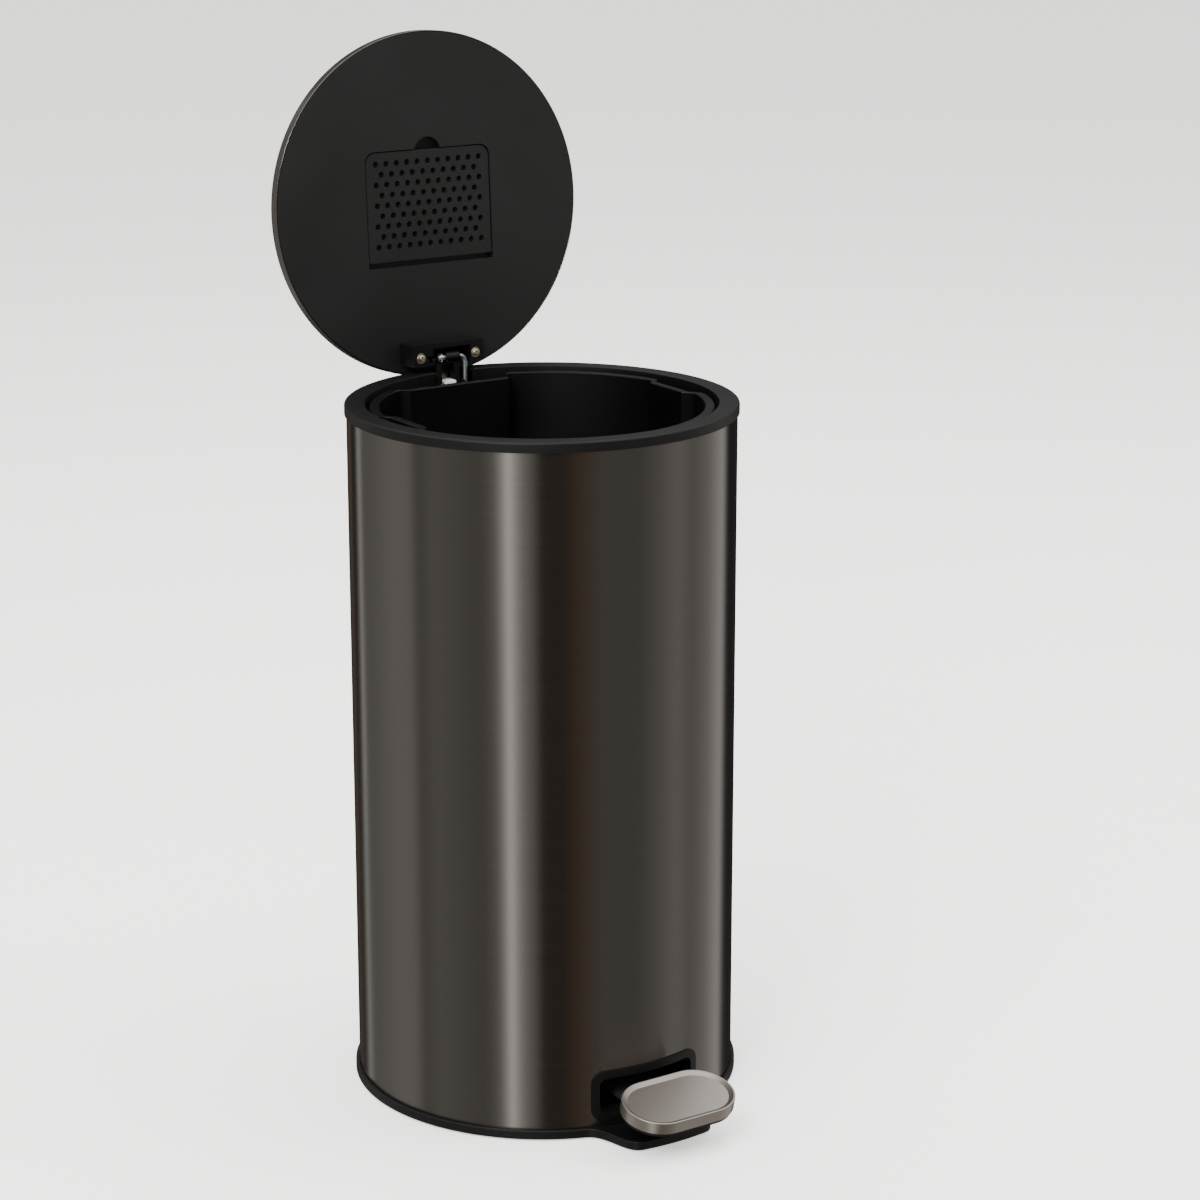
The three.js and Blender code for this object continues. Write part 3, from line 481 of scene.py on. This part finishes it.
lid_cover = turned_piece("lid_cover", [
    (0.01, 23.4), (60, 23.4), (132.5, 23.4), (133.3, 23.1), (133.7, 22.4), (133.7, 16.2),
    (133.52, 15.9), (133.5, 15.4), (133.62, 15.05), (133.85, 14.88), (134.1, 14.88), (134.33, 15.02),
    (134.47, 15.28), (134.5, 15.6), (134.5, 22.6), (134.36, 23.3), (133.95, 23.85), (133.3, 24.12),
    (132.5, 24.2), (60, 24.2), (0.01, 24.2),
], closed=False)
to_lid_middle(lid_cover)
swing_open(lid_cover)
settle(lid_cover, "lid", ["lid_skin"], lid_steel)

# ---------------------------------------------------------------- lid panel
# A satin black panel closes the lid from below. The filter compartment, with a thumb notch in
# front, is moulded in its middle.
pocket_wide = 112.2
pocket_deep = 86.6
pocket_shift = -0.7
pocket_wall = 1.2
notch_radius = 12
screw_x = 24.7
screw_y = -25
screw_hole = 1.9

# Satin polypropylene of the panel: nearly smooth, faint marks of wiping.
satin_polypropylene = moulded_plastic("Satin polypropylene", "#141414", 0.47, 1.2, 0.008, 0.09)


# a plate with its two corners at the lid's front edge rounded
def front_rounded_block(name, low, high, radius):
    piece = rounded_block(name, low, high)
    corners = piece.data.vertices
    pick(piece, "EDGE", lambda edge: abs(corners[edge.vertices[0]].co.y - low[1] * mm) < 0.01 * mm
         and abs(corners[edge.vertices[0]].co.z - corners[edge.vertices[1]].co.z) > 0.01 * mm)
    bpy.ops.mesh.bevel(offset=radius * mm, segments=12, affect="EDGES")
    bpy.ops.object.mode_set(mode="OBJECT")
    return piece


# a round bar along one axis, given by its ends on that axis and its place on the other two
def round_bar(name, axis, radius, start, end, at, steps=32):
    bpy.ops.object.select_all(action="DESELECT")
    bpy.ops.mesh.primitive_cylinder_add(vertices=steps, radius=radius * mm, depth=(end - start) * mm)
    piece = bpy.context.object
    piece.name = name
    middle = (start + end) / 2
    if axis == "x":
        piece.rotation_euler = (0, math.pi / 2, 0)
        piece.location = (middle * mm, at[0] * mm, at[1] * mm)
    else:
        piece.location = (at[0] * mm, at[1] * mm, middle * mm)
    bpy.ops.object.transform_apply(location=True, rotation=True, scale=False)
    return piece


panel = turned_piece("lid_inner_panel", [
    (0.01, 14.5), (70, 14.5), (132.7, 14.5), (133.2, 14.65), (133.4, 15.0), (133.4, 17.5),
    (70, 17.5), (0.01, 17.5),
], closed=False)
to_lid_middle(panel)
half_wide = pocket_wide / 2
front = lid_middle + pocket_shift - pocket_deep / 2
back = lid_middle + pocket_shift + pocket_deep / 2
notch_place = (0, front + 3)
seat_line = (back - 2.6, 16.2)
shape_with(panel, "UNION",
           front_rounded_block("compartment", (-half_wide - pocket_wall, front - pocket_wall, 15.5),
                               (half_wide + pocket_wall, back + 4.7, 21.3), 9 + pocket_wall),
           round_bar("notch_boss", "z", notch_radius + pocket_wall, 15.5, 22.9, notch_place, 64))
shape_with(panel, "DIFFERENCE",
           front_rounded_block("pocket", (-half_wide, front, 10), (half_wide, back + 3.5, 19.9), 9),
           round_bar("thumb_notch", "z", notch_radius, 10, 22.3, notch_place, 64),
           round_bar("hinge_seats", "x", 1.5, -57.1, 57.1, seat_line),
           round_bar("screw_hole_left", "z", screw_hole, 10, 18.5, (-screw_x, screw_y)),
           round_bar("screw_hole_right", "z", screw_hole, 10, 18.5, (screw_x, screw_y)))
soften(panel, 0.25, 2, 50)
swing_open(panel)
settle(panel, "lid", ["lid_panel"], satin_polypropylene)

# ---------------------------------------------------------------- filter cover
# The compartment's cover is a thin plate with nine rows of round vents. It turns on two small
# pins at its back edge and is pushed open from the thumb notch.
vent_pitch = 9.27
vent_radius = 2.3
vent_rows = 9
cover = front_rounded_block("vented_cover", (-55.3, front + 0.8, 15.1), (55.3, back - 0.8, 17.3), 9)
soften(cover, 0.3, 2, 50)
vents = []
for row in range(vent_rows):
    count = 10 if row % 2 else 11
    y = (row - (vent_rows - 1) / 2) * vent_pitch * math.sqrt(3) / 2 + lid_middle + pocket_shift - 1.6
    for i in range(count):
        x = (i - (count - 1) / 2) * vent_pitch
        vents.append(round_bar("vent", "z", vent_radius, 12, 19, (x, y), 20))
bpy.ops.object.select_all(action="DESELECT")
for vent in vents:
    vent.select_set(True)
bpy.context.view_layer.objects.active = vents[0]
bpy.ops.object.join()
shape_with(cover, "DIFFERENCE", bpy.context.object)
shape_with(cover, "UNION",
           round_bar("cover_pin_left", "x", 1.2, -56.7, -53.3, seat_line, 20),
           round_bar("cover_pin_right", "x", 1.2, 53.3, 56.7, seat_line, 20))
swing_open(cover)
settle(cover, "filter_cover", ["filter_cover"], satin_polypropylene)

# Activated-carbon felt: a black fibre pad, quite matt.
carbon_felt = moulded_plastic("Carbon felt", "#080808", 0.95, 2.5, 0.4)
finish_nodes(carbon_felt, "carbon_filter")

# ---------------------------------------------------------------- lid bracket
# A black moulding screwed under the lid carries two arms that turn on the hinge pin, and a
# barrel in which the bent end of the lift rod turns.
pin_hole = 2.3
# the rod's end stands 23.5 mm above the pin and 1.5 mm in front of it while the lid is open
rod_ahead = -1.5
rod_above = 23.5
sleeve_y = rod_ahead * math.cos(-open_turn) - rod_above * math.sin(-open_turn)
sleeve_z = rod_ahead * math.sin(-open_turn) + rod_above * math.cos(-open_turn)
bracket = rounded_block("lid_bracket", (-32, -35.7, -6.5), (-14, -18.2, 14.2), "z", 1.5, 4)
shape_with(bracket, "UNION",
           rounded_block("right_boss", (19.5, -35.7, -6.5), (32, -18.2, 14.2), "z", 1.5, 4),
           rounded_block("back_wall", (-31.4, -35.2, 10.2), (31.4, -18.7, 14.1)),
           rounded_block("far_wall", (-31.4, -35.6, -6.4), (31.4, -31.7, 14.0)),
           rounded_block("arm_root", (-10.5, -23.2, -3.8), (10.5, -18.3, 14.0)),
           rounded_block("barrel_web", (-2, sleeve_y - 3, sleeve_z), (10, sleeve_y + 3, 14.0)))
for low, high in ((-10.5, -5.6), (5.6, 10.5)):
    shape_with(bracket, "UNION",
               rounded_block("arm", (low, -20.2, -3.8), (high, 0, 2.6)),
               round_bar("arm_eye", "x", 3.8, low, high, (0, 0), 40))
shape_with(bracket, "DIFFERENCE",
           round_bar("pin_way", "x", pin_hole, -60, 60, (0, 0)),
           round_bar("barrel_room", "x", 4.5, -22, 19.5, (sleeve_y, sleeve_z), 40))
for side in (-1, 1):
    shape_with(bracket, "DIFFERENCE",
               round_bar("screw_way", "z", screw_hole, -8, 16, (side * screw_x, screw_y)),
               round_bar("washer_seat", "z", 4.5, -8, -4.5, (side * screw_x, screw_y), 40))
soften(bracket, 0.3, 2, 50)
swing_open(bracket)
settle(bracket, "lid", ["lid_hinge_bracket"], black_polypropylene)

barrel = round_bar("rod_barrel", "x", 4.2, -2, 10, (sleeve_y, sleeve_z), 48)
shape_with(barrel, "DIFFERENCE", round_bar("barrel_bore", "x", 2.2, -20, 30, (sleeve_y, sleeve_z)))
soften(barrel, 0.4, 3, 50)
swing_open(barrel)
settle(barrel, "lid", ["rod_sleeve"], black_polypropylene)

# ---------------------------------------------------------------- bracket screws
# Two pan-head screws with a cross recess hold the bracket, each on a flat washer. Both are
# steel with a yellow passivated zinc coat.
head_seat = -5.7
slot_wide = 0.7
slot_long = 3.2

# Yellow passivated zinc on steel: soft gloss, faint yellow and rose tints.
yellow_zinc = brushed_metal(
    "Yellow passivated zinc", "#f6edd2", 0.32, (300, 300, 300), 0.0, 0.01, 0.12)[0]

for name, side in (("left", -1), ("right", 1)):
    x = side * screw_x
    y = screw_y
    screw = round_bar(f"pan_head_{name}", "z", 2.6, head_seat - 2, head_seat, (x, y), 40)
    soften(screw, 0.9, 4, 50)
    shape_with(screw, "UNION", round_bar("shank", "z", 1.6, head_seat - 0.5, 16.5, (x, y), 24))
    for wide, long in ((slot_long, slot_wide), (slot_wide, slot_long)):
        shape_with(screw, "DIFFERENCE",
                   rounded_block("cross", (x - wide / 2, y - long / 2, head_seat - 3),
                                 (x + wide / 2, y + long / 2, head_seat - 1.1)))
    swing_open(screw)
    settle(screw, "lid", [f"bracket_screw_{name}"], yellow_zinc)
    washer = round_bar(f"flat_washer_{name}", "z", 4.2, -5.55, -4.65, (x, y), 48)
    shape_with(washer, "DIFFERENCE", round_bar("washer_hole", "z", screw_hole, -9, 0, (x, y)))
    soften(washer, 0.15, 2, 50)
    swing_open(washer)
    settle(washer, "lid", [f"screw_washer_{name}"], yellow_zinc)

# ---------------------------------------------------------------- hinge on the body
# The hinge pin runs between two cheeks of a moulded housing behind the bucket. A white nylon
# bush fills the space between the lid's arms.

# Natural nylon: waxy off-white.
natural_nylon = moulded_plastic("Natural nylon", "#dcd8cf", 0.45, 1.0, 0.01)
# Bright zinc plating on steel: cool white, fairly glossy.
bright_zinc = brushed_metal(
    "Bright zinc plating", "#e9f1f6", 0.42, (250, 250, 250), 0.0, 0.01, 0.08)[0]

housing = rounded_block("hinge_box", (-13.6, 129.5, 501.5), (-11.4, 145.8, 533), "z", 0.4, 2)
shape_with(housing, "UNION",
           rounded_block("right_cheek", (11.4, 135, 501.5), (13.6, 145.8, 526.8), "z", 0.4, 2),
           rounded_block("rear_wall", (-13.5, 140.5, 501.6), (13.5, 145.7, 516.2)),
           rounded_block("housing_floor", (-13.5, 129.6, 501.55), (13.5, 145.7, 503.7)))
shape_with(housing, "INTERSECT",
           turned_piece("housing_reach", [(145.8, 480), (145.8, 545), (1, 545), (1, 480)]))
shape_with(housing, "DIFFERENCE", round_bar("housing_pin_hole", "x", pin_hole, -30, 30, (pin_y, pin_z)))
settle(housing, "body", ["hinge_housing"], black_polypropylene)

bush = rounded_block("hinge_bearing", (-5.2, 135, 504), (5.2, 140.2, 527.2))
shape_with(bush, "UNION", rounded_block("bush_top", (-5.2, 135, 516.5), (5.2, 145.3, 527.2)))
shape_with(bush, "DIFFERENCE", round_bar("bush_bore", "x", pin_hole, -30, 30, (pin_y, pin_z)))
soften(bush, 0.5, 3, 50)
settle(bush, "body", ["hinge_bush"], natural_nylon)

pin = round_bar("hinge_rod", "x", 2, -13.6, 13.6, (pin_y, pin_z), 40)
soften(pin, 0.4, 2, 50)
settle(pin, "body", ["hinge_pin"], bright_zinc)

# ---------------------------------------------------------------- lift rod
# A 3.8 mm zinc plated rod stands behind the bucket. Its top is bent over to go through the
# bracket's barrel, where a push-on ring holds it.
rod_radius = 1.9
rod_end = (-8, 140, 545.5)
rod_foot = 46.6
bend_radius = 5.5
bend_start = 11
bpy.ops.object.select_all(action="DESELECT")
bpy.ops.mesh.primitive_circle_add(vertices=28, radius=rod_radius * mm, fill_type="NGON",
                                  location=[c * mm for c in rod_end], rotation=(0, math.pi / 2, 0))
rod = bpy.context.object
rod.name = "bent_lift_rod"
bpy.ops.object.transform_apply(location=True, rotation=True, scale=False)
bpy.ops.object.mode_set(mode="EDIT")
bpy.ops.mesh.select_all(action="SELECT")
bpy.ops.mesh.extrude_region_move(
    TRANSFORM_OT_translate={"value": ((bend_start - rod_end[0]) * mm, 0, 0)})
bend_middle = (bend_start * mm, rod_end[1] * mm, (rod_end[2] - bend_radius) * mm)
bpy.ops.mesh.spin(steps=12, angle=-math.pi / 2, center=bend_middle, axis=(0, 1, 0))
bpy.ops.mesh.extrude_region_move(
    TRANSFORM_OT_translate={"value": (0, 0, rod_foot * mm - bend_middle[2])})
bpy.ops.mesh.select_all(action="SELECT")
bpy.ops.mesh.remove_doubles(threshold=0.01 * mm)
bpy.ops.mesh.normals_make_consistent(inside=False)
bpy.ops.object.mode_set(mode="OBJECT")
settle(rod, "rod", ["lift_rod"], bright_zinc)
finish_nodes(bright_zinc, "rod_retainer")

# ---------------------------------------------------------------- pedal
# The foot pad is a pressed stainless cap with a raised rim and a shallow dish, held over a black
# moulded tray. Both sit on the nose of the lever, dipped to the front.
pad_dip = math.radians(12.8)
pad_place = (0, -186 * mm, 39 * mm)


# moves a piece made level about the middle of the pad's top to its place on the pressed pedal
def to_pad(piece):
    bpy.ops.object.select_all(action="DESELECT")
    piece.select_set(True)
    bpy.context.view_layer.objects.active = piece
    piece.rotation_euler = (pad_dip, 0, 0)
    piece.location = pad_place
    bpy.ops.object.transform_apply(location=True, rotation=True, scale=False)


# Brushed stainless steel, natural colour, a soft grain along the pad.
pad_steel = brushed_metal("Brushed stainless", "#b6afa7", 0.36, (12, 900, 900), 0.0, 0.015, 0.05)[0]

cap = rounded_block("foot_cap", (-46, -27.5, -9.5), (46, 27.5, -0.7), "z", 27.3, 24)
pick(cap, "FACE", lambda face: face.normal.z > 0.9)
for inward, upward in ((0.1, 0.35), (0.25, 0.25), (0.35, 0.1), (0.6, 0), (0.25, -0.08), (0.3, -0.25),
                       (2.6, -1.6), (0.3, -0.12), (0.3, 0)):
    bpy.ops.mesh.inset(thickness=inward * mm, depth=upward * mm)
bpy.ops.object.mode_set(mode="OBJECT")
pick(cap, "FACE", lambda face: face.normal.z < -0.9)
bpy.ops.mesh.inset(thickness=1.0 * mm)
bpy.ops.mesh.extrude_region_move(TRANSFORM_OT_translate={"value": (0, 0, 6.3 * mm)})
bpy.ops.object.mode_set(mode="OBJECT")
soften(cap, 0.3, 2, 55)
to_pad(cap)
settle(cap, "pedal", ["pedal_cap"], pad_steel, 50)

tray = rounded_block("foot_tray", (-44.6, -26.1, -10), (44.6, 26.1, -3.6), "z", 25.9, 24)
shape_with(tray, "UNION",
           rounded_block("tray_edge", (-44.5, -26, -12.5), (44.5, 26, -9.9), "z", 25.8, 24))
for x in (-11, 11):
    shape_with(tray, "DIFFERENCE", round_bar("tray_drill", "z", 1.9, -14, -6.5, (x, 4)))
soften(tray, 0.5, 2, 55)
to_pad(tray)
settle(tray, "pedal", ["pedal_tray"], black_polypropylene)

# The lever, its axle, the two axle brackets and the pad's screws are plain stamped and turned
# steel pieces, bright zinc plated.
finish_nodes(bright_zinc, "pedal_lever", "pedal_axle", "axle_bracket_left", "axle_bracket_right",
             "pad_screw_left", "pad_screw_right")

# ---------------------------------------------------------------- floor, lights and camera
# A pale painted floor, a soft studio round the bin, three large soft lights and a small one. The
# studio has tall pale and dark screens, which the steel mirrors as upright bands.
camera_turn = 33.294
bpy.ops.object.select_all(action="DESELECT")
bpy.ops.mesh.primitive_plane_add(size=60, location=(0, 0, 0))
floor = bpy.context.object
floor.name = "studio_floor"
floor_paint = bpy.data.materials.new("Floor paint")
floor_paint.use_nodes = True
floor_shader = floor_paint.node_tree.nodes["Principled BSDF"]
floor_shader.inputs["Base Color"].default_value = linear("#f0efec")
floor_shader.inputs["Roughness"].default_value = 0.7
floor_shader.inputs["Emission Color"].default_value = linear("#f0efec")
floor_shader.inputs["Emission Strength"].default_value = 0.9
floor.data.materials.append(floor_paint)
floor.visible_glossy = False

world = bpy.data.worlds.new("Studio")
bpy.context.scene.world = world
world.use_nodes = True
studio = world.node_tree
studio.nodes.clear()
way = add_node(studio, "ShaderNodeTexCoord")
turned_way = add_node(studio, "ShaderNodeMapping", {"vector_type": "POINT"},
                      {"Rotation": (0, 0, math.radians(camera_turn))}, {"Vector": way.outputs["Generated"]})
parts = add_node(studio, "ShaderNodeSeparateXYZ", links={"Vector": turned_way.outputs["Vector"]})
toward = add_node(studio, "ShaderNodeMath", {"operation": "MULTIPLY"}, {1: -1}, {0: parts.outputs["Y"]})
bearing = add_node(studio, "ShaderNodeMath", {"operation": "ARCTAN2"},
                   links={0: parts.outputs["X"], 1: toward.outputs[0]})
share = add_node(studio, "ShaderNodeMapRange",
                 values={"From Min": -math.pi, "From Max": math.pi, "To Min": 0, "To Max": 1},
                 links={"Value": bearing.outputs[0]})
screens = add_node(studio, "ShaderNodeValToRGB", links={"Fac": share.outputs["Result"]})
dark, umber, brown, dim = "#222120", "#3a3632", "#54473b", "#5e5c59"
mid, pale, bright, white = "#73716e", "#888683", "#b0aeab", "#ffffff"
# where the screens stand, in degrees round the bin from the camera
bands = [
    (-180, dim), (-160, dark), (-154, brown), (-150, dark), (-141, dark), (-136, bright), (-131, dim),
    (-98, pale), (-84, pale), (-77, dim), (-67, mid), (-35, dim), (-27, mid), (-22, bright),
    (-19, white), (-15, bright), (-10, pale), (-5, mid), (0, umber), (12, umber), (22, brown),
    (36, dim), (60, dim), (75, mid), (87, pale), (100, mid), (116, pale), (133, bright),
    (141, dark), (160, dark),
]
ramp = screens.color_ramp
while len(ramp.elements) > 1:
    ramp.elements.remove(ramp.elements[-1])
ramp.elements[0].position = 0
ramp.elements[0].color = linear(bands[0][1])
for angle, colour in bands[1:]:
    stop = ramp.elements.new(angle / 360 + 0.5)
    stop.color = linear(colour)
lift = add_node(studio, "ShaderNodeMapRange", {"interpolation_type": "SMOOTHSTEP"},
                {"From Min": 0.4, "From Max": 0.75, "To Min": 0, "To Max": 1},
                {"Value": parts.outputs["Z"]})
dome = add_node(studio, "ShaderNodeMix", {"data_type": "RGBA"}, {"B": linear("#dcdcdc")},
                {"Factor": lift.outputs["Result"], "A": screens.outputs["Color"]})
seen = add_node(studio, "ShaderNodeLightPath")
shown = add_node(studio, "ShaderNodeMix", {"data_type": "RGBA"}, {"B": linear("#f1f0ee")},
                 {"Factor": seen.outputs["Is Camera Ray"], "A": dome.outputs["Result"]})
power = add_node(studio, "ShaderNodeMath", {"operation": "MULTIPLY_ADD"}, {1: 9, 2: 2.2},
                 {0: seen.outputs["Is Camera Ray"]})
glow = add_node(studio, "ShaderNodeBackground",
                links={"Color": shown.outputs["Result"], "Strength": power.outputs[0]})
add_node(studio, "ShaderNodeOutputWorld", links={"Surface": glow.outputs["Background"]})

for name, place, size, strength in (("key_light", (-1.6, -0.8, 2.6), 1.8, 90),
                                    ("fill_light", (2.2, -1.2, 2.2), 1.6, 60),
                                    ("top_light", (0.4, 0.6, 3.4), 3.0, 160),
                                    ("front_strip", (-1.9, -1.47, 1.9), 0.45, 30)):
    lamp = bpy.data.lights.new(name, "AREA")
    lamp.shape = "SQUARE"
    lamp.size = size
    lamp.energy = strength
    light = bpy.data.objects.new(name, lamp)
    bpy.context.collection.objects.link(light)
    light.visible_glossy = name == "front_strip"
    light.location = place
    aim = -light.location
    aim.z += 0.35
    light.rotation_euler = aim.to_track_quat("-Z", "Y").to_euler()

camera_data = bpy.data.cameras.new("camera")
camera_data.lens = 95.47
camera_data.sensor_width = 36
camera_data.clip_start = 0.05
camera_data.clip_end = 200
camera = bpy.data.objects.new("camera", camera_data)
bpy.context.collection.objects.link(camera)
camera.location = (-1.2499, -1.9824, 1.0258)
camera.rotation_euler = (math.radians(90 - 15.415), 0, math.radians(-camera_turn))
bpy.context.scene.camera = camera
